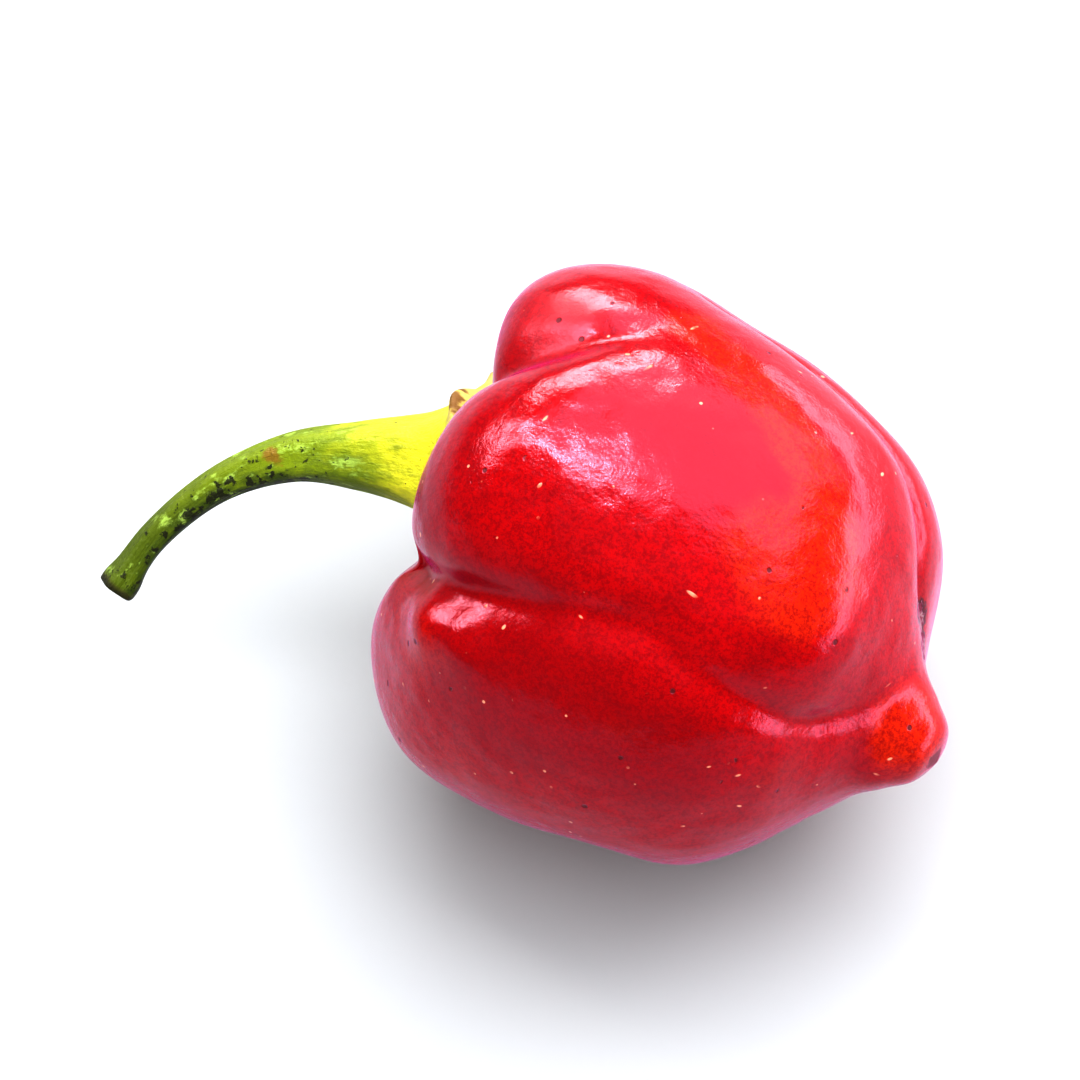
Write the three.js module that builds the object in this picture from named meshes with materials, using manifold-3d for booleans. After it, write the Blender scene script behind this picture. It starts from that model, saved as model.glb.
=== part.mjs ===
// A ripe, lantern-shaped chilli pepper lying on its side, in millimetres with +Z up.
// +X runs along the pod from the stem end to the tip, and z = 0 is the surface
// that the pepper lies on. Angles round the pod start at its top and grow toward -Y.
import * as THREE from 'three';
import { mergeVertices } from 'three/addons/utils/BufferGeometryUtils.js';
import Module from 'manifold-3d';

// Driving dimensions

const SEAT = new THREE.Vector3(-7.92, 0.49, 20.9); // bottom of the dimple that holds the stem

// The pod's plain outline: distance along the pod from the seat, and radius
const OUTLINE = [
  [1.6, 0], [1.4, 3.6], [0.6, 7], [-1.2, 10.6], [-1.8, 14.4], [0.7, 17.7],
  [5.2, 20.3], [10.5, 21.3], [16.5, 21.4], [22.5, 20.3], [27.8, 17.9], [31.9, 13.8],
  [34.3, 9.4], [36.1, 6], [38.1, 4.2], [39.8, 2.5], [40.4, 0],
];

// Creases between the lobes: station along the outline (0 seat, 1 tip), angle in
// degrees and depth
const CREASES = [
  { // between the top lobe and the back lobe
    width: 4.5,
    path: [
      [0.16, 8, 0.6], [0.25, -1, 2.4], [0.32, -7, 2], [0.37, -14, 1.4], [0.41, -21, 0.7], [0.44, -28, 0],
    ],
  },
  { // narrow groove along the flank
    width: 2.6,
    path: [
      [0.36, -56, 0], [0.42, -52, 0.6], [0.46, -51, 0.9], [0.52, -48.5, 1], [0.58, -50, 1.1],
      [0.63, -52.5, 1.2], [0.67, -51, 1.2], [0.72, -48.5, 1.2], [0.76, -58, 0.9], [0.79, -68, 0.3],
    ],
  },
  {
    width: 5,
    path: [[0.16, -80, 0.4], [0.26, -92, 1.6], [0.4, -108, 1.4], [0.56, -120, 1.2], [0.72, -126, 0.3]],
  },
  { // between the top lobe and the front lobe
    width: 4.2,
    path: [
      [0.16, 64, 0.6], [0.25, 61, 2.8], [0.31, 57.5, 2.8], [0.36, 53, 2.6], [0.4, 49.5, 2.3],
      [0.44, 45.5, 1.8], [0.48, 41.5, 1.4], [0.52, 38, 1.2], [0.55, 36, 0.8], [0.58, 35, 0.2],
    ],
  },
  { // under the chin, round the nipple
    width: 3,
    path: [
      [0.56, 37, 0], [0.6, 39.5, 0.7], [0.65, 41, 1], [0.7, 42, 1.1], [0.74, 38, 0.9], [0.78, 25, 0.5],
      [0.81, 5, 0.2],
    ],
  },
  {
    width: 6,
    path: [[0.16, 140, 0.5], [0.28, 141, 1.8], [0.45, 138, 1.1], [0.6, 134, 0.8], [0.75, 130, 0.2]],
  },
  {
    width: 6,
    path: [[0.16, 205, 0.5], [0.28, 203, 2.4], [0.45, 200, 1.8], [0.6, 198, 1.4], [0.75, 196, 0.2]],
  },
];
const FOLD_WIDTH = 0.36; // the sharp fold in a crease, as a share of the crease's width
const FOLD_SHARE = 0.45; // and of its depth
const CREASE_STEPS = 60;

// Swellings and hollows: station, angle in degrees, height and radius
const SWELLINGS = [
  { station: 0.29, angle: -38, height: 1.7, radius: 8 }, // shoulder of the back lobe
  { station: 0.26, angle: -32, height: 0.5, radius: 5 },
  { station: 0.31, angle: 20, height: 0.4, radius: 7 }, // shoulder of the top lobe
  { station: 0.25, angle: 34, height: -0.7, radius: 6 },
  { station: 0.44, angle: -61, height: -0.7, radius: 6 },
  { station: 0.54, angle: -76, height: -2, radius: 10 }, // flank of the back lobe
  { station: 0.67, angle: 14, height: 1.2, radius: 5 }, // chin of the top lobe
  { station: 0.31, angle: 76, height: -1.1, radius: 7 }, // shoulder of the front lobe
  { station: 0.37, angle: 61, height: 1, radius: 2.4 }, // corner of the front lobe
  { station: 0.38, angle: 106, height: 0.9, radius: 7 }, // belly of the front lobe
  { station: 0.55, angle: 114, height: -1, radius: 5 },
  { station: 0.7, angle: 135, height: -0.8, radius: 8 }, // under the tip
  { station: 0.9, angle: 140, height: -0.7, radius: 3 },
  { station: 0.78, angle: -88, height: -0.7, radius: 5 },
  { station: 0.47, angle: 126, height: -0.6, radius: 6 }, // dent in the front lobe
];

const TIP_SHIFT = 1.3; // the nipple sits off the pod's middle line by this much
const TIP_SHIFT_ANGLE = 115;
const TIP_SHIFT_START = 0.6; // stations between which the shift grows
const TIP_SHIFT_END = 0.9;

const POD_RINGS = 56;
const POD_SEGMENTS = 96;

// The stem's middle line, from under the calyx to the cut end, measured from the seat
const STEM_LINE = [
  [0.95, 0, 0], [-2.4, -0.1, -0.1], [-6, -1.2, -0.6], [-10.3, -3, -1.3], [-15.2, -5.4, -2.7],
  [-19.4, -9.4, -5.1], [-22, -14.3, -8.2], [-22.9, -18.7, -11.3],
];
// Calyx and stem outline: radius, and distance along the middle line
const STEM_OUTLINE = [
  [0, 0], [3.2, 0.2], [5.6, 1.2], [7, 2.7], [7.2, 3.5], [6.2, 4.2], [4.9, 5.2], [3.9, 6.8],
  [3.3, 8.8], [2.85, 11], [2.4, 13.6], [2.05, 16.2], [1.75, 19], [1.5, 22], [1.32, 25],
  [1.22, 28], [1.17, 31], [1.22, 33.2], [1.5, 34.9], [1.4, 36], [0.9, 36.4], [0, 36.4],
];
const STEM_RINGS = 46;
const STEM_SEGMENTS = 30;
const RIDGES = 5; // low ridges that run along the stem
const RIDGE_HEIGHT = 0.05; // as a share of the radius
const TEETH = 5; // dried teeth round the calyx
const TOOTH_ANGLE = -12; // where one of them points
const TOOTH_REACH = 0.7;
const TOOTH_CURL = 0.9;
const CALYX_EDGE = 3.3; // distance of the calyx's edge along the middle line
const CALYX_EDGE_SPREAD = 0.8;

// Helpers

// A point on a smooth line through rows of numbers, at 0..1 along it
function along(rows, position) {
  const scaled = THREE.MathUtils.clamp(position, 0, 1) * (rows.length - 1);
  const i = Math.min(Math.floor(scaled), rows.length - 2);
  const u = scaled - i;
  const before = rows[Math.max(i - 1, 0)];
  const after = rows[Math.min(i + 2, rows.length - 1)];
  return rows[i].map((start, k) => {
    const end = rows[i + 1][k];
    const slopeIn = (end - before[k]) / 2;
    const slopeOut = (after[k] - start) / 2;
    const cubic = 2 * start - 2 * end + slopeIn + slopeOut;
    const square = -3 * start + 3 * end - 2 * slopeIn - slopeOut;
    return ((cubic * u + square) * u + slopeIn) * u + start;
  });
}

// Merges the seams of a closed surface of revolution and drops its empty triangles
function closed(geometry) {
  geometry.deleteAttribute('normal');
  geometry.deleteAttribute('uv');
  const merged = mergeVertices(geometry, 1e-4);
  const corners = merged.index.array;
  const kept = [];
  for (let i = 0; i < corners.length; i += 3) {
    const [a, b, c] = [corners[i], corners[i + 1], corners[i + 2]];
    if (a !== b && b !== c && c !== a) kept.push(a, b, c);
  }
  merged.setIndex(kept);
  return merged;
}

const wasm = await Module();
wasm.setup();

function toManifold(geometry) {
  const mesh = new wasm.Mesh({
    numProp: 3,
    vertProperties: new Float32Array(geometry.attributes.position.array),
    triVerts: new Uint32Array(geometry.index.array),
  });
  return new wasm.Manifold(mesh);
}

function toGeometry(manifold) {
  const mesh = manifold.getMesh();
  const geometry = new THREE.BufferGeometry();
  geometry.setAttribute('position', new THREE.BufferAttribute(mesh.vertProperties, 3));
  geometry.setIndex(new THREE.BufferAttribute(mesh.triVerts, 1));
  geometry.computeVertexNormals();
  return geometry;
}

// Pod

// The point at a distance along the pod, a radius and an angle in degrees
function roundPod(distance, radius, angle) {
  const turn = THREE.MathUtils.degToRad(angle);
  return new THREE.Vector3(distance, -radius * Math.sin(turn), radius * Math.cos(turn));
}

function plainPod(station, angle) {
  const [distance, radius] = along(OUTLINE, station);
  return roundPod(distance, radius, angle);
}

// Each crease as a row of small round hollows that add up to one smooth valley
function creaseHollows({ width, path }) {
  const rows = Array.from({ length: CREASE_STEPS }, (_, k) => along(path, k / (CREASE_STEPS - 1)));
  const points = rows.map(([station, angle]) => plainPod(station, angle));
  return points.map((centre, k) => {
    const toPrevious = k > 0 ? centre.distanceTo(points[k - 1]) : 0;
    const toNext = k < points.length - 1 ? centre.distanceTo(points[k + 1]) : 0;
    const depth = (((toPrevious + toNext) / 2) * rows[k][2]) / (Math.sqrt(Math.PI) * width);
    return { centre, width, wide: depth * (1 - FOLD_SHARE), fold: (depth * FOLD_SHARE) / FOLD_WIDTH };
  });
}

const hollows = CREASES.flatMap(creaseHollows);
const swellings = SWELLINGS.map(({ station, angle, height, radius }) => (
  { centre: plainPod(station, angle), height, radius }
));

function reliefAt(point) {
  let relief = 0;
  for (const { centre, width, wide, fold } of hollows) {
    const far = point.distanceToSquared(centre) / width ** 2;
    relief -= wide * Math.exp(-far) + fold * Math.exp(-far / FOLD_WIDTH ** 2);
  }
  for (const { centre, height, radius } of swellings) {
    relief += height * Math.exp(-point.distanceToSquared(centre) / radius ** 2);
  }
  return relief;
}

function podPoint(station, angle) {
  const step = 0.001;
  const [distance, radius] = along(OUTLINE, station);
  const [ahead, aheadRadius] = along(OUTLINE, station + step);
  const [behind, behindRadius] = along(OUTLINE, station - step);
  const outward = new THREE.Vector2(behindRadius - aheadRadius, ahead - behind).normalize();
  const relief = reliefAt(roundPod(distance, radius, angle));
  const point = roundPod(distance + outward.x * relief, radius + outward.y * relief, angle);
  const shift = TIP_SHIFT * THREE.MathUtils.smoothstep(station, TIP_SHIFT_START, TIP_SHIFT_END);
  return point.add(roundPod(0, shift, TIP_SHIFT_ANGLE)).add(SEAT);
}

function podGeometry() {
  const profile = new THREE.SplineCurve(
    OUTLINE.map(([distance, radius]) => new THREE.Vector2(radius, distance)),
  );
  const turned = new THREE.LatheGeometry(profile.getPoints(POD_RINGS), POD_SEGMENTS);
  const position = turned.attributes.position;
  for (let k = 0; k < position.count; k += 1) {
    const segment = Math.floor(k / (POD_RINGS + 1)) % POD_SEGMENTS;
    const ring = k % (POD_RINGS + 1);
    const onAxis = ring === 0 || ring === POD_RINGS;
    const angle = onAxis ? 0 : (360 * segment) / POD_SEGMENTS;
    position.setXYZ(k, ...podPoint(ring / POD_RINGS, angle).toArray());
  }
  // The flat spot that the pod rests on
  const depth = 10;
  const below = new THREE.BoxGeometry(100, 100, depth).translate(0, 0, -depth / 2);
  return toGeometry(toManifold(closed(turned)).subtract(toManifold(closed(below))));
}

// Stem with its calyx

function stemGeometry() {
  const line = new THREE.CatmullRomCurve3(
    STEM_LINE.map((row) => new THREE.Vector3(...row)),
    false,
    'catmullrom',
    0.5,
  );
  const length = line.getLength();
  const profile = new THREE.SplineCurve(STEM_OUTLINE.map((row) => new THREE.Vector2(...row)));
  const turned = new THREE.LatheGeometry(profile.getPoints(STEM_RINGS), STEM_SEGMENTS);
  const position = turned.attributes.position;
  for (let k = 0; k < position.count; k += 1) {
    const ring = k % (STEM_RINGS + 1);
    const segment = Math.floor(k / (STEM_RINGS + 1)) % STEM_SEGMENTS;
    const [plainRadius, distance] = along(STEM_OUTLINE, ring / STEM_RINGS);
    const angle = (-2 * Math.PI * segment) / STEM_SEGMENTS;
    const tooth = Math.cos((TEETH / 2) * (angle - THREE.MathUtils.degToRad(TOOTH_ANGLE))) ** 4;
    const edge = tooth * Math.exp(-(((distance - CALYX_EDGE) / CALYX_EDGE_SPREAD) ** 2));
    const ridge = 1 + RIDGE_HEIGHT * Math.cos(RIDGES * angle);
    const atEdge = THREE.MathUtils.smoothstep(plainRadius, 0, 5);
    const radius = Math.max(plainRadius, 0) * ridge + TOOTH_REACH * edge * atEdge;
    const place = THREE.MathUtils.clamp((distance + TOOTH_CURL * edge * atEdge) / length, 0, 1);
    const centre = line.getPointAt(place);
    const tangent = line.getTangentAt(place);
    const side = new THREE.Vector3(0, 0, 1).cross(tangent).normalize();
    const up = new THREE.Vector3().crossVectors(tangent, side);
    centre.addScaledVector(side, radius * Math.sin(angle)).addScaledVector(up, radius * Math.cos(angle));
    position.setXYZ(k, ...centre.add(SEAT).toArray());
  }
  return closed(turned);
}

// Pepper

const pod = new THREE.Mesh(
  podGeometry(),
  new THREE.MeshStandardMaterial({ color: 0xc01018, roughness: 0.25, metalness: 0 }),
);
pod.name = 'pod';

const stem = new THREE.Mesh(
  stemGeometry(),
  new THREE.MeshStandardMaterial({ color: 0x8fa51e, roughness: 0.55, metalness: 0 }),
);
stem.name = 'stem';

const pepper = new THREE.Group();
pepper.add(pod, stem);

export default pepper;
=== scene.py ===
import math

import bmesh
import bpy
import numpy as np
from mathutils import Matrix, Vector


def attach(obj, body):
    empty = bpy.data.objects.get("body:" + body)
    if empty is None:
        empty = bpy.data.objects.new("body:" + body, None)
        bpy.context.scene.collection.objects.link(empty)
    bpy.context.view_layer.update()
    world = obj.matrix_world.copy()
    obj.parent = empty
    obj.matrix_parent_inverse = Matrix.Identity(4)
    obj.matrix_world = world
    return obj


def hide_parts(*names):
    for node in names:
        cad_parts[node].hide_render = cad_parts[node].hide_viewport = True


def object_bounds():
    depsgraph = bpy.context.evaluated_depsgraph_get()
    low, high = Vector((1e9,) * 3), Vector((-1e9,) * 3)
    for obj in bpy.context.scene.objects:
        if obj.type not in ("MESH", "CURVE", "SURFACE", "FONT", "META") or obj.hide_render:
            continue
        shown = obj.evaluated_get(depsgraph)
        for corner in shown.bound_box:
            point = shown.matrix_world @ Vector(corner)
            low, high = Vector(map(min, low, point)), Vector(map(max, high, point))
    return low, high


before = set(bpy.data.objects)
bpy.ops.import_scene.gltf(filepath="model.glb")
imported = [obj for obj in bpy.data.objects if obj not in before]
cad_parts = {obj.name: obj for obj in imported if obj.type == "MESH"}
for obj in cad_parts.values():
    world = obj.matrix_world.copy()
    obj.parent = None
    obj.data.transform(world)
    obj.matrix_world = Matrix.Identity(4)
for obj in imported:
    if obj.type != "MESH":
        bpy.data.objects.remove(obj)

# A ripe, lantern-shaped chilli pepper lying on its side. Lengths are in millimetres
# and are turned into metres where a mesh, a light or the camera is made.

CAD_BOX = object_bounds()
MM = 0.001

# Pod: +X runs from the stem end to the tip. Stations run from 0 at the seat to 1 at
# the tip, and angles in degrees start at the pod's top and grow toward -Y.

SEAT = np.array([-7.92, 0.49, 20.9])
OUTLINE = (  # distance along the pod, radius
    (1.6, 0), (1.4, 3.6), (0.6, 7), (-1.2, 10.6), (-1.8, 14.4), (0.7, 17.7),
    (5.2, 20.3), (10.5, 21.3), (16.5, 21.4), (22.5, 20.3), (27.8, 17.9), (31.9, 13.8),
    (34.3, 9.4), (36.1, 6), (38.1, 4.2), (39.8, 2.5), (40.4, 0),
)
CREASES = (  # width, then station, angle and depth along each crease
    (4.5, (
        (0.16, 8, 0.6), (0.25, -1, 2.4), (0.32, -7, 2), (0.37, -14, 1.4), (0.41, -21, 0.7), (0.44, -28, 0),
    )),
    (2.6, (
        (0.36, -56, 0), (0.42, -52, 0.6), (0.46, -51, 0.9), (0.52, -48.5, 1), (0.58, -50, 1.1),
        (0.63, -52.5, 1.2), (0.67, -51, 1.2), (0.72, -48.5, 1.2), (0.76, -58, 0.9), (0.79, -68, 0.3),
    )),
    (5, ((0.16, -80, 0.4), (0.26, -92, 1.6), (0.4, -108, 1.4), (0.56, -120, 1.2), (0.72, -126, 0.3))),
    (4.2, (
        (0.16, 64, 0.6), (0.25, 61, 2.8), (0.31, 57.5, 2.8), (0.36, 53, 2.6), (0.4, 49.5, 2.3),
        (0.44, 45.5, 1.8), (0.48, 41.5, 1.4), (0.52, 38, 1.2), (0.55, 36, 0.8), (0.58, 35, 0.2),
    )),
    (3, (
        (0.56, 37, 0), (0.6, 39.5, 0.7), (0.65, 41, 1), (0.7, 42, 1.1), (0.74, 38, 0.9), (0.78, 25, 0.5),
        (0.81, 5, 0.2),
    )),
    (6, ((0.16, 140, 0.5), (0.28, 141, 1.8), (0.45, 138, 1.1), (0.6, 134, 0.8), (0.75, 130, 0.2))),
    (6, ((0.16, 205, 0.5), (0.28, 203, 2.4), (0.45, 200, 1.8), (0.6, 198, 1.4), (0.75, 196, 0.2))),
)
FOLD_WIDTH = 0.36  # the sharp fold in a crease, as a share of the crease's width
FOLD_SHARE = 0.45  # and of its depth
CREASE_STEPS = 60  # hollows that make up one crease
SWELLINGS = (  # station, angle, height, radius
    (0.29, -38, 1.7, 8),  # shoulder of the back lobe
    (0.26, -32, 0.5, 5),
    (0.31, 20, 0.4, 7),  # shoulder of the top lobe
    (0.25, 34, -0.7, 6),
    (0.44, -61, -0.7, 6),
    (0.54, -76, -2, 10),  # flank of the back lobe
    (0.67, 14, 1.2, 5),  # chin of the top lobe
    (0.31, 76, -1.1, 7),  # shoulder of the front lobe
    (0.37, 61, 1, 2.4),  # corner of the front lobe
    (0.42, 59, 0.9, 2.2),
    (0.38, 106, 0.9, 7),  # belly of the front lobe
    (0.55, 114, -1, 5),
    (0.7, 135, -0.8, 8),  # under the tip
    (0.9, 140, -0.7, 3),
    (0.78, -88, -0.7, 5),
    (0.47, 126, -0.6, 6),  # dent in the front lobe
)
TIP_SHIFT = 1.3  # how far the tip stands off the pod's axis, and toward which angle
TIP_SHIFT_ANGLE = 115
TIP_SHIFT_START = 0.6
TIP_SHIFT_END = 0.9
STATION_STEP = 0.001
POD_RINGS = 190
POD_SEGMENTS = 300
FLAT_BLEND = 0.12  # how softly the underside turns into its flat spot

# Stem and calyx

STEM_LINE = (  # middle line from under the calyx to the cut end, measured from the seat
    (0.95, 0, 0), (-2.4, -0.1, -0.1), (-6, -1.2, -0.6), (-10.3, -3, -1.3), (-15.2, -5.4, -2.7),
    (-19.4, -9.4, -5.1), (-22, -14.3, -8.2), (-22.9, -18.7, -11.3),
)
STEM_OUTLINE = (  # radius, distance along the middle line
    (0, 0), (3.2, 0.2), (5.6, 1.2), (7, 2.7), (7.2, 3.5), (6.2, 4.2), (4.9, 5.2), (3.9, 6.8),
    (3.3, 8.8), (2.85, 11), (2.4, 13.6), (2.05, 16.2), (1.75, 19), (1.5, 22), (1.32, 25),
    (1.22, 28), (1.17, 31), (1.22, 33.2), (1.5, 34.9), (1.4, 36), (0.9, 36.4), (0, 36.4),
)
STEM_RINGS = 260
STEM_SEGMENTS = 120
LINE_SAMPLES = 2000
LINE_STEP = 0.0005
RIDGES = 5
RIDGE_HEIGHT = 0.05
TEETH = 5
TOOTH_ANGLE = -12
TOOTH_SHARPNESS = 4
TOOTH_ROOT_RADIUS = 5
TOOTH_REACH = 0.7
TOOTH_CURL = 0.9
CALYX_EDGE = 3.3  # distance along the middle line at which the calyx is widest
CALYX_EDGE_SPREAD = 0.8

# View: where the camera stands, from the seat's place in a square picture of PHOTO_WIDTH
# pixels and from the millimetres that one pixel covers there

PHOTO_WIDTH = 1080
SEAT_PIXEL = (582, 802)
PIXEL_SIZE = 0.1138
VIEW_AZIMUTH = 36
VIEW_ELEVATION = 56
VIEW_DISTANCE = 450
SENSOR = 36
LENS = 198
AIM_SHIFT = (-2.4, -1.8, 0)  # from the middle of the pepper's box to what the camera looks at


# Shapes

def along(rows, position):
    """Points on a smooth line through rows of numbers, at 0..1 along it."""
    rows = np.asarray(rows, float)
    scaled = np.clip(position, 0, 1) * (len(rows) - 1)
    first = np.minimum(scaled.astype(int), len(rows) - 2)
    u = (scaled - first)[..., None]
    start, end = rows[first], rows[first + 1]
    slope_in = (end - rows[np.maximum(first - 1, 0)]) / 2
    slope_out = (rows[np.minimum(first + 2, len(rows) - 1)] - start) / 2
    cubic = 2 * start - 2 * end + slope_in + slope_out
    square = -3 * start + 3 * end - 2 * slope_in - slope_out
    return ((cubic * u + square) * u + slope_in) * u + start


def smooth_step(value, low, high):
    share = np.clip((value - low) / (high - low), 0, 1)
    return share * share * (3 - 2 * share)


def round_pod(distance, radius, angle):
    turn = np.radians(angle)
    return np.stack([distance + 0 * turn, -radius * np.sin(turn), radius * np.cos(turn)], -1)


def plain_pod(station, angle):
    outline = along(OUTLINE, station)
    return round_pod(outline[..., 0], outline[..., 1], angle)


def crease_relief(points, width, path):
    """A crease as a row of small round hollows that add up to one smooth valley."""
    rows = along(path, np.linspace(0, 1, CREASE_STEPS))
    centres = plain_pod(rows[:, 0], rows[:, 1])
    steps = np.linalg.norm(np.diff(centres, axis=0), axis=1)
    reach = (np.append(steps, 0) + np.append(0, steps)) / 2
    relief = np.zeros(len(points))
    for centre, depth in zip(centres, reach * rows[:, 2] / (math.sqrt(math.pi) * width)):
        far = np.sum((points - centre) ** 2, axis=-1) / width**2
        relief -= depth * (1 - FOLD_SHARE) * np.exp(-far)
        relief -= depth * FOLD_SHARE / FOLD_WIDTH * np.exp(-far / FOLD_WIDTH**2)
    return relief


def pod_relief(points):
    relief = sum(crease_relief(points, width, path) for width, path in CREASES)
    for station, angle, height, radius in SWELLINGS:
        centre = plain_pod(np.array(station), np.array(angle))
        relief += height * np.exp(-np.sum((points - centre) ** 2, axis=-1) / radius**2)
    return relief


def pod_points(station, angle):
    """Points of the pod's skin, in millimetres in the shared frame."""
    outline = along(OUTLINE, station)
    ahead, behind = along(OUTLINE, station + STATION_STEP), along(OUTLINE, station - STATION_STEP)
    outward = np.stack([behind[:, 1] - ahead[:, 1], ahead[:, 0] - behind[:, 0]], -1)
    outward /= np.linalg.norm(outward, axis=1, keepdims=True)
    relief = pod_relief(round_pod(outline[:, 0], outline[:, 1], angle))
    skin = outline + outward * relief[:, None]
    shift = TIP_SHIFT * smooth_step(station, TIP_SHIFT_START, TIP_SHIFT_END)
    points = round_pod(skin[:, 0], skin[:, 1], angle) + SEAT
    points += round_pod(0 * shift, shift, np.full(len(shift), TIP_SHIFT_ANGLE))
    points[:, 2] = (points[:, 2] + np.hypot(points[:, 2], FLAT_BLEND)) / 2
    return points


def stem_line(distance):
    """Points on the stem's middle line by distance along it, and the ways to its side and up."""
    rows = np.array(STEM_LINE, float)
    rows = np.vstack([2 * rows[0] - rows[1], rows, 2 * rows[-1] - rows[-2]])
    inner = np.linspace(1, len(rows) - 2, LINE_SAMPLES) / (len(rows) - 1)
    points = along(rows, inner)
    travelled = np.append(0, np.cumsum(np.linalg.norm(np.diff(points, axis=0), axis=1)))
    position = np.interp(distance, travelled, inner)
    line = along(rows, position)
    way = along(rows, position + LINE_STEP) - along(rows, position - LINE_STEP)
    way /= np.linalg.norm(way, axis=1, keepdims=True)
    side = np.cross([0, 0, 1], way)
    side /= np.linalg.norm(side, axis=1, keepdims=True)
    return line, side, np.cross(way, side)


def stem_points(station, angle):
    """Points of the stem's skin in the shared frame, and the same points on a straight stem."""
    radius, distance = np.moveaxis(along(STEM_OUTLINE, station), -1, 0)
    turn = np.radians(angle)
    tooth = np.cos(TEETH / 2 * (turn - math.radians(TOOTH_ANGLE))) ** TOOTH_SHARPNESS
    edge = tooth * np.exp(-(((distance - CALYX_EDGE) / CALYX_EDGE_SPREAD) ** 2))
    edge *= smooth_step(radius, 0, TOOTH_ROOT_RADIUS)
    radius = np.maximum(radius, 0) * (1 + RIDGE_HEIGHT * np.cos(RIDGES * turn)) + TOOTH_REACH * edge
    line, side, up = stem_line(distance + TOOTH_CURL * edge)
    across, rise = radius * np.sin(turn), radius * np.cos(turn)
    points = line + side * across[:, None] + up * rise[:, None] + SEAT
    return points, np.stack([across, rise, distance], -1)


def ball(segments, rings):
    """A closed ball mesh, with each vertex's station from pole to pole and its angle."""
    mesh = bmesh.new()
    bmesh.ops.create_uvsphere(mesh, u_segments=segments, v_segments=rings, radius=1)
    places = np.array([vertex.co for vertex in mesh.verts])
    station = np.arccos(np.clip(places[:, 2], -1, 1)) / math.pi
    angle = -np.degrees(np.arctan2(places[:, 1], places[:, 0]))
    return mesh, station, angle


def finish_piece(mesh, points, name, material):
    """Moves the mesh's vertices to points in millimetres and makes it a piece of the pepper."""
    for vertex, point in zip(mesh.verts, points * MM):
        vertex.co = point
    for face in mesh.faces:
        face.smooth = True
    data = bpy.data.meshes.new(name)
    mesh.to_mesh(data)
    mesh.free()
    data.materials.append(material)
    piece = bpy.data.objects.new(name, data)
    bpy.context.scene.collection.objects.link(piece)
    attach(piece, "root")
    return piece


# Materials

class Number:
    """A number or colour worked out by a material, used with the ordinary signs."""

    def __init__(self, finish, socket):
        self.finish = finish
        self.socket = socket

    def sign(self, operation, *values):
        return self.finish.node("ShaderNodeMath", {"operation": operation}, dict(enumerate(values)))

    def __add__(self, other):
        return self.sign("ADD", self, other)

    def __sub__(self, other):
        return self.sign("SUBTRACT", self, other)

    def __rsub__(self, other):
        return self.sign("SUBTRACT", other, self)

    def __mul__(self, other):
        return self.sign("MULTIPLY", self, other)

    def __truediv__(self, other):
        return self.sign("DIVIDE", self, other)

    __radd__ = __add__
    __rmul__ = __mul__


class Finish:
    """A material under construction. One method adds any node."""

    def __init__(self, name):
        self.material = bpy.data.materials.new(name)
        self.material.use_nodes = True
        self.tree = self.material.node_tree
        self.tree.nodes.clear()

    def node(self, kind, settings=None, values=None, output=0):
        made = self.tree.nodes.new(kind)
        for setting, value in (settings or {}).items():
            setattr(made, setting, value)
        for socket, value in (values or {}).items():
            if isinstance(value, Number):
                self.tree.links.new(value.socket, made.inputs[socket])
            else:
                made.inputs[socket].default_value = value
        return Number(self, made.outputs[output])

    def millimetres(self):
        """Places on the piece, in millimetres in the shared frame."""
        place = self.node("ShaderNodeTexCoord", output="Object")
        return self.scaled(place, 1 / MM)

    def scaled(self, vector, by):
        by = (by, by, by) if isinstance(by, (int, float)) else by
        return self.node("ShaderNodeVectorMath", {"operation": "MULTIPLY"}, {0: vector, 1: by})

    def moved(self, vector, by):
        return self.node("ShaderNodeVectorMath", {"operation": "ADD"}, {0: vector, 1: by})

    def distance(self, vector, point):
        settings = {"operation": "DISTANCE"}
        return self.node("ShaderNodeVectorMath", settings, {0: vector, 1: point}, output="Value")

    def part(self, vector, axis):
        return self.node("ShaderNodeSeparateXYZ", None, {0: vector}, output=axis)

    def noise(self, vector, scale, detail=2.0, roughness=0.5, distortion=0.0):
        values = {"Vector": vector, "Scale": scale, "Detail": detail}
        values |= {"Roughness": roughness, "Distortion": distortion}
        return self.node("ShaderNodeTexNoise", None, values)

    def cells(self, vector, scale):
        """How far each place is from the nearest of a lot of scattered points."""
        values = {"Vector": vector, "Scale": scale}
        return self.node("ShaderNodeTexVoronoi", None, values, output="Distance")

    def ease(self, value, low, high):
        """0 below low and 1 above high, or the other way round, with a soft step."""
        settings = {"interpolation_type": "SMOOTHSTEP"}
        reverse = low > high
        low, high = min(low, high), max(low, high)
        values = {"Value": value, "From Min": low, "From Max": high}
        values |= {"To Min": float(reverse), "To Max": float(not reverse)}
        return self.node("ShaderNodeMapRange", settings, values)

    def blend(self, share, first, second):
        settings = {"data_type": "RGBA"}
        first = first if isinstance(first, Number) else (*first, 1)
        second = second if isinstance(second, Number) else (*second, 1)
        return self.node("ShaderNodeMix", settings, {0: share, 6: first, 7: second}, output=2)

    def bump(self, height, distance, normal=None):
        values = {"Height": height, "Distance": distance * MM, "Strength": 1}
        if normal is not None:
            values["Normal"] = normal
        return self.node("ShaderNodeBump", None, values)

    def done(self, values):
        surface = self.node("ShaderNodeBsdfPrincipled", None, values)
        end = self.tree.nodes.new("ShaderNodeOutputMaterial")
        self.tree.links.new(surface.socket, end.inputs["Surface"])
        return self.material


# Pod skin

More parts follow.
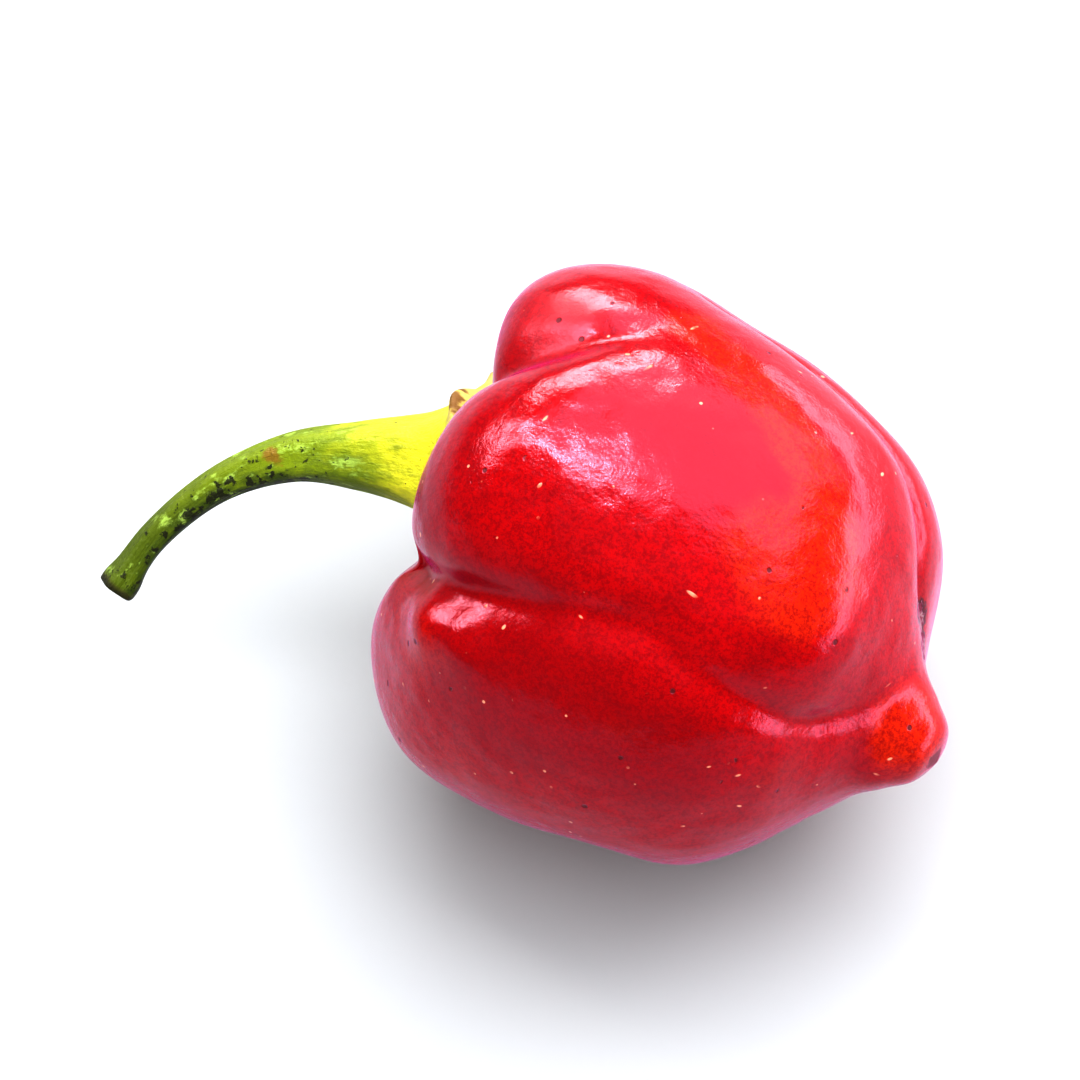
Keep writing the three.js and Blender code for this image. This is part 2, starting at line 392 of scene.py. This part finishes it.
CRIMSON = (0.17, 0.001, 0.003)
# the darker red of the painted shade on the pod
SHADE_RED = (0.2, 0.001, 0.002)
RED = (0.345, 0.001, 0.0015)
ORANGE_RED = (0.49, 0.034, 0.002)
FLECK = (0.95, 0.5, 0.3)
PIT = (0.05, 0.01, 0.008)
SCAB = (0.13, 0.012, 0.02)
SCAB_FLAKES = (0.3, 0.2, 0.2)
SCAB_RIM = (0.035, 0.008, 0.008)
STYLE_SCAR = (0.09, 0.04, 0.012)

ORANGE_SPOTS = (  # station, angle, radius: a band along the top lobe's edge and its lower end
    (0.44, -30, 2.2), (0.47, -26, 2), (0.5, -23, 2), (0.53, -20.5, 2), (0.56, -18, 2.2),
    (0.59, -14, 2.5), (0.62, -8, 3), (0.64, 2, 3.5), (0.63, 12, 3.5), (0.59, 8, 3), (0.88, 15, 3.5),
)
# Darker red patches of painted shade: along the crease between the top and front lobes, over the front
# lobe, which turns away from the light, and two beside the band on the top lobe's edge
SHADE_SPOTS = (
    (0.4, 48, 3.5), (0.46, 43, 3), (0.52, 58, 5.5), (0.46, 66, 6), (0.6, 62, 5), (0.56, -28, 1.8),
    (0.6, -27, 1.6), (0.3, 40, 4),
)
SCAB_SPOTS = ((0.752, -46, 1), (0.768, -57, 1.3), (0.79, -62, 1.2))
STYLE_SCAR_SPOT = (0.975, 20, 0.85)
BLOOM_SPOTS = ((0.3, -13, 3), (0.33, -16, 3), (0.28, -20, 2.5))  # where the skin is dull
FLECK_LAYERS = (  # spacing, radius, length, turn, shift, and the noise above which they show
    (2, 0.17, 1, (0, 0, 0), (0, 0, 0), 0.52),
    (1.9, 0.17, 4, (0.5, 0.9, 0.4), (0, 0, 0), 0.49),
    (2.1, 0.17, 5, (1.9, 0.3, 1.2), (0, 0, 0), 0.5),
)
PIT_LAYERS = (
    (2.6, 0.28, 1, (0, 0, 0), (31, 7, 13), 0.54),
    (2.8, 0.17, 4, (0.2, 1.7, 0.9), (0, 0, 0), 0.54),
)
SHADE_SHARE = 0.5
ORANGE_SHARE = 0.6
MOTTLE_SHARE = 0.65
FLECK_SHARE = 0.62
PIT_SHARE = 0.8
SCAB_RIM_SHARE = 0.85
SCAR_SHARE = 0.85
WAVE_HEIGHT = 0.55
RIPPLE_HEIGHT = 0.055
SCAB_HEIGHT = 0.3
GRAIN_HEIGHT = 0.016
SKIN_ROUGHNESS = 0.11
SKIN_SHINE = {
    "IOR": 1.48,
    "Specular Tint": (1, 0.5, 0.82, 1),
    "Sheen Weight": 0.27,
    "Sheen Roughness": 0.35,
    "Sheen Tint": (0.9, 0.1, 0.6, 1),
}


def skin_place(station, angle):
    """A point on the pod's skin, in millimetres in the shared frame."""
    return tuple(pod_points(np.array([station]), np.array([float(angle)]))[0])


def patches(finish, place, spots, waver, edge=1.0):
    """1 inside any of the spots and 0 outside them, with soft or wavering edges."""
    inside = 0
    for station, angle, radius in spots:
        far = finish.distance(place, skin_place(station, angle)) / radius + waver
        inside = inside + finish.ease(far, 1 + 0.5 * edge, 1 - 0.6 * edge)
    return finish.ease(inside, 0, 1)


def flecks(finish, place, layers):
    """Small scattered marks, drawn out lengthwise, turned, and left out where a noise is low."""
    marks = 0
    for spacing, radius, length, turn, shift, above in layers:
        values = {"Vector": finish.moved(place, shift), "Rotation": turn}
        turned = finish.node("ShaderNodeVectorRotate", {"rotation_type": "EULER_XYZ"}, values)
        far = finish.cells(finish.scaled(turned, (1, 1 / length, 1)), 1 / spacing)
        layer = finish.ease(far, radius / spacing, 0.6 * radius / spacing)
        shown = finish.ease(finish.noise(turned, 0.3, 1), above - 0.02, above + 0.02)
        marks = marks + layer * shown
    return marks


def pod_skin():
    finish = Finish("pod_skin")
    place = finish.millimetres()
    broad = finish.noise(place, 0.07, 3, 0.55)
    cloudy = finish.noise(place, 0.28, 4, 0.6, 0.4)
    coarse = finish.noise(place, 2.2, 3, 0.7)
    fine = finish.noise(place, 5.5, 2, 0.7)
    waver = (cloudy - 0.5) * 1.2

    colour = finish.blend(finish.ease(cloudy, 0.42, 0.75) * 0.35, RED, CRIMSON)
    # painted shade: darker red patches in the crease and on the lobe that turns away from the light
    painted_shade = patches(finish, place, SHADE_SPOTS, waver) * SHADE_SHARE
    colour = finish.blend(painted_shade, colour, SHADE_RED)
    orange = patches(finish, place, ORANGE_SPOTS, waver) * ORANGE_SHARE
    colour = finish.blend(orange + finish.ease(broad, 0.58, 0.8) * 0.4, colour, ORANGE_RED)
    mottle = finish.ease(coarse * 0.5 + fine * 0.5, 0.42, 0.6)
    colour = finish.blend(mottle * MOTTLE_SHARE, colour, CRIMSON)

    dots = flecks(finish, place, FLECK_LAYERS) * finish.ease(finish.noise(place, 0.8, 1), 0.3, 0.6)
    colour = finish.blend(dots * FLECK_SHARE, colour, FLECK)
    pits = flecks(finish, place, PIT_LAYERS)
    colour = finish.blend(pits * PIT_SHARE, colour, PIT)

    ragged = finish.noise(place, 1.1, 4, 0.65)
    scab = patches(finish, place, SCAB_SPOTS, (ragged - 0.5) * 1.4, 0.12)
    scab_rim = patches(finish, place, SCAB_SPOTS, (ragged - 0.5) * 1.4 - 0.3, 0.3)
    flakes = finish.ease(finish.noise(place, 1.6, 3, 0.7), 0.5, 0.56)
    colour = finish.blend(scab_rim * SCAB_RIM_SHARE, colour, SCAB_RIM)
    colour = finish.blend(scab, colour, finish.blend(flakes, SCAB, SCAB_FLAKES))
    scar = patches(finish, place, (STYLE_SCAR_SPOT,), (ragged - 0.5) * 2.2, 0.3)
    colour = finish.blend(scar * SCAR_SHARE, colour, STYLE_SCAR)

    dull = finish.noise(place, 0.55, 3, 0.6)
    bloom = patches(finish, place, BLOOM_SPOTS, waver)
    roughness = SKIN_ROUGHNESS + dull * 0.12 + bloom * 0.2 + (scab + scar) * 0.4 + pits * 0.3
    normal = finish.bump(finish.noise(place, 0.16, 2, 0.5), WAVE_HEIGHT)
    normal = finish.bump(finish.noise(place, 0.7, 3, 0.55), RIPPLE_HEIGHT, normal)
    normal = finish.bump(scab * (ragged + 0.5), SCAB_HEIGHT, normal)
    grain = finish.noise(place, 3.6, 3, 0.6) * 1.6 + dots * 1.5 - pits * 3
    normal = finish.bump(grain, GRAIN_HEIGHT, normal)
    return finish.done({"Base Color": colour, "Roughness": roughness, "Normal": normal} | SKIN_SHINE)


# Stem skin: the ranges are in millimetres along the stem from under the calyx, except
# for the rims', which are from the stem's middle line outward

STEM_YELLOW = (0.62, 0.6, 0.03)
STEM_LIME = (0.175, 0.235, 0.003)
STEM_OLIVE = (0.08, 0.115, 0.002)
# the dark green of the painted shade on the stem's lower side
STEM_SHADE = (0.022, 0.045, 0.003)
STEM_DARK = (0.012, 0.012, 0.004)
STEM_PALE = (0.4, 0.56, 0.12)
STEM_BROWN = (0.2, 0.1, 0.01)
CALYX_DRY = (0.62, 0.5, 0.16)
CALYX_TIP = (0.2, 0.1, 0.02)
CUT_FACE = (0.12, 0.12, 0.015)
BROWN_SPOT = (0.5, 1.6, 18.5)  # across, up and along on the straight stem
BROWN_SPOT_RADIUS = 0.9
YELLOW_TO_LIME = (4, 14)
LIME_TO_OLIVE = (16, 31)
SHADE_STARTS = (4, 20)
PALE_STARTS = (9, 14)
SPECKS_START = (8, 20)
DRY_ENDS = (5, 4)
CUT_STARTS = (34.8, 35.4)
DRY_RIM = (6.2, 7.2)
CALYX_TIP_RIM = (7.8, 8.1)
CUT_RIM = (0.95, 1.15)
RIB_HEIGHT = 0.24
STEM_GRAIN_HEIGHT = 0.1


def stem_skin():
    finish = Finish("stem_green")
    straight = finish.node("ShaderNodeAttribute", {"attribute_name": "straight"}, output="Vector")
    away = finish.part(straight, "Z")
    outward = finish.distance(finish.scaled(straight, (1, 1, 0)), (0, 0, 0))
    # grows toward the stem's lower side, which is painted darker as shade
    toward_shade = (finish.part(straight, "X") * 0.67 - finish.part(straight, "Y") * 0.56) / outward
    streaks = finish.noise(finish.scaled(straight, (1, 1, 0.22)), 1.3, 4, 0.6)
    cloudy = finish.noise(straight, 0.45, 3, 0.6)
    blotches = finish.noise(finish.scaled(straight, (1, 1, 0.6)), 0.9, 4, 0.65)

    # the lower side also drifts toward olive: painted shade mixed into the stem's own yellow to lime to
    # olive change along its length
    wander = away + (cloudy - 0.5) * 9 + (streaks - 0.5) * 6 + toward_shade * 2.5
    colour = finish.blend(finish.ease(wander, *YELLOW_TO_LIME), STEM_YELLOW, STEM_LIME)
    colour = finish.blend(finish.ease(wander, *LIME_TO_OLIVE), colour, STEM_OLIVE)
    # painted shade: the stem's lower side darkened, broken up by streaks and blotches
    underside_shade = finish.ease(toward_shade + (streaks - 0.5) * 1.6 + (blotches - 0.5) * 2, -0.25, 0.75)
    shaded = underside_shade * finish.ease(away, *SHADE_STARTS) * 0.9
    colour = finish.blend(shaded, colour, STEM_SHADE)
    colour = finish.blend(finish.ease(streaks, 0.5, 0.68) * 0.3, colour, STEM_OLIVE)
    pale = finish.ease(blotches, 0.56, 0.68) * finish.ease(away, *PALE_STARTS)
    colour = finish.blend(pale * 0.6, colour, STEM_PALE)
    brown = finish.distance(straight, BROWN_SPOT) + (blotches - 0.5) * 2
    colour = finish.blend(finish.ease(brown, BROWN_SPOT_RADIUS, 0.4) * 0.8, colour, STEM_BROWN)
    # dark specks, with more of them on the lower side that is painted as shade
    speck_line = 0.68 - finish.ease(away, *SPECKS_START) * (0.06 + underside_shade * 0.15)
    specks = finish.ease(finish.noise(straight, 1.3, 4, 0.65, 0.3) - speck_line, 0, 0.03)
    colour = finish.blend(specks * 0.9, colour, STEM_DARK)
    dry = finish.ease(outward, *DRY_RIM) * finish.ease(away, *DRY_ENDS)
    colour = finish.blend(dry * 0.9, colour, CALYX_DRY)
    tips = finish.ease(outward + (streaks - 0.5) * 1.2, *CALYX_TIP_RIM) * dry
    colour = finish.blend(tips, colour, CALYX_TIP)
    end = finish.ease(away + (cloudy - 0.5) * 0.8, *CUT_STARTS)
    colour = finish.blend(end, colour, CUT_FACE)
    cut_rim = end * finish.ease(outward + (blotches - 0.5) * 0.4, *CUT_RIM)
    colour = finish.blend(cut_rim * 0.9, colour, STEM_DARK)

    ribs = finish.noise(finish.scaled(straight, (1, 1, 0.07)), 1.6, 3, 0.6)
    normal = finish.bump(ribs, RIB_HEIGHT)
    grain = finish.noise(straight, 3, 3, 0.6) - specks * 0.8
    normal = finish.bump(grain, STEM_GRAIN_HEIGHT, normal)
    return finish.done({
        "Base Color": colour, "Roughness": 0.42 + streaks * 0.25, "Normal": normal,
        "Specular IOR Level": 0.3,
    })


# Floor: its radius is in metres

FLOOR_RADIUS = 4
FLOOR_SEGMENTS = 96
FLOOR_COLOUR = (0.345, 0.365, 0.37)
FLOOR_GLOW = 0.05


def floor_finish():
    finish = Finish("floor_white")
    return finish.done({
        "Base Color": (*FLOOR_COLOUR, 1), "Roughness": 0.7, "Specular IOR Level": 0.2,
        "Emission Color": (1, 1, 1, 1), "Emission Strength": FLOOR_GLOW,
    })


# Pieces

def make_pod():
    mesh, station, angle = ball(POD_SEGMENTS, POD_RINGS)
    pod = finish_piece(mesh, pod_points(station, angle), "pod_skin", pod_skin())
    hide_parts("pod")


def make_stem():
    mesh, station, angle = ball(STEM_SEGMENTS, STEM_RINGS)
    points, straight = stem_points(station, angle)
    layer = mesh.verts.layers.float_vector.new("straight")
    for vertex, place in zip(mesh.verts, straight):
        vertex[layer] = place
    stem = finish_piece(mesh, points, "stem_skin", stem_skin())
    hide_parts("stem")


def make_floor():
    mesh = bmesh.new()
    bmesh.ops.create_circle(mesh, cap_ends=True, segments=FLOOR_SEGMENTS, radius=FLOOR_RADIUS)
    data = bpy.data.meshes.new("floor")
    mesh.to_mesh(data)
    mesh.free()
    data.materials.append(floor_finish())
    floor = bpy.data.objects.new("floor", data)
    bpy.context.scene.collection.objects.link(floor)


# Light: a "matt" panel lights the surfaces and isn't mirrored in them, a "shine" panel
# is only mirrored, and the others do both

PANELS = (  # name, azimuth and elevation of its place, distance, width, height, brightness, kind
    ("sky_panel", 95, 58, 700, 900, 860, 4, "all"),
    ("side_panel", 50, 7, 900, 2200, 260, 7, "all"),
    ("fill_panel", -70, 80, 700, 900, 860, 3.8, "matt"),
    ("rim_panel", -95, 3, 700, 1000, 300, 2.8, "matt"),
    ("edge_panel", 173, 58, 700, 50, 420, 75, "shine"),
    ("low_panel", 134, 24, 700, 360, 100, 30, "shine"),
    ("corner_panel", 178, 30, 700, 250, 80, 30, "shine"),
)
LIGHT_AIM = (0, 0, 20)
SHINE_COLOUR = (1, 0.98, 0.84)
SKY_COLOUR = (1, 0.98, 1.01)
WORLD = (0.95, 0.96, 1)
WORLD_STRENGTH = 0.16
EXPOSURE = 0.35
CONTRAST = 0.7


def make_lights():
    aim = Vector(LIGHT_AIM) * MM
    for name, azimuth, elevation, distance, width, height, brightness, kind in PANELS:
        turn, rise = math.radians(azimuth), math.radians(elevation)
        way = Vector((math.cos(turn) * math.cos(rise), math.sin(turn) * math.cos(rise), math.sin(rise)))
        panel = bpy.data.lights.new(name, "AREA")
        panel.shape = "RECTANGLE"
        panel.size = width * MM
        panel.size_y = height * MM
        panel.color = SHINE_COLOUR if kind == "shine" else SKY_COLOUR
        panel.energy = math.pi * brightness * panel.size * panel.size_y
        lamp = bpy.data.objects.new(name, panel)
        lamp.matrix_world = Matrix.LocRotScale(aim + way * distance * MM, way.to_track_quat("Z", "Y"), None)
        lamp.visible_diffuse = kind != "shine"
        lamp.visible_glossy = kind != "matt"
        bpy.context.scene.collection.objects.link(lamp)
    world = bpy.data.worlds.new("studio")
    world.use_nodes = True
    background = world.node_tree.nodes["Background"]
    background.inputs["Color"].default_value = (*WORLD, 1)
    background.inputs["Strength"].default_value = WORLD_STRENGTH
    bpy.context.scene.world = world
    bpy.context.scene.view_settings.view_transform = "Standard"
    bpy.context.scene.view_settings.exposure = EXPOSURE
    bpy.context.scene.view_settings.gamma = CONTRAST


# Camera

def make_camera():
    turn, rise = math.radians(VIEW_AZIMUTH), math.radians(VIEW_ELEVATION)
    back = Vector((math.sin(turn) * math.cos(rise), -math.cos(turn) * math.cos(rise), math.sin(rise)))
    right = Vector((math.cos(turn), math.sin(turn), 0))
    up = back.cross(right)
    across = (SEAT_PIXEL[0] - PHOTO_WIDTH / 2) * PIXEL_SIZE
    above = (PHOTO_WIDTH / 2 - SEAT_PIXEL[1]) * PIXEL_SIZE
    place = Vector(SEAT) + back * VIEW_DISTANCE - right * across - up * above
    low, high = CAD_BOX
    middle = (Vector(low) + Vector(high)) / 2 + Vector(AIM_SHIFT) * MM
    data = bpy.data.cameras.new("camera")
    data.lens = LENS
    data.sensor_width = SENSOR
    camera = bpy.data.objects.new("camera", data)
    place *= MM
    camera.matrix_world = Matrix.LocRotScale(place, (middle - place).to_track_quat("-Z", "Y"), None)
    bpy.context.scene.collection.objects.link(camera)
    bpy.context.scene.camera = camera


make_camera()
make_pod()
make_stem()
make_floor()
make_lights()
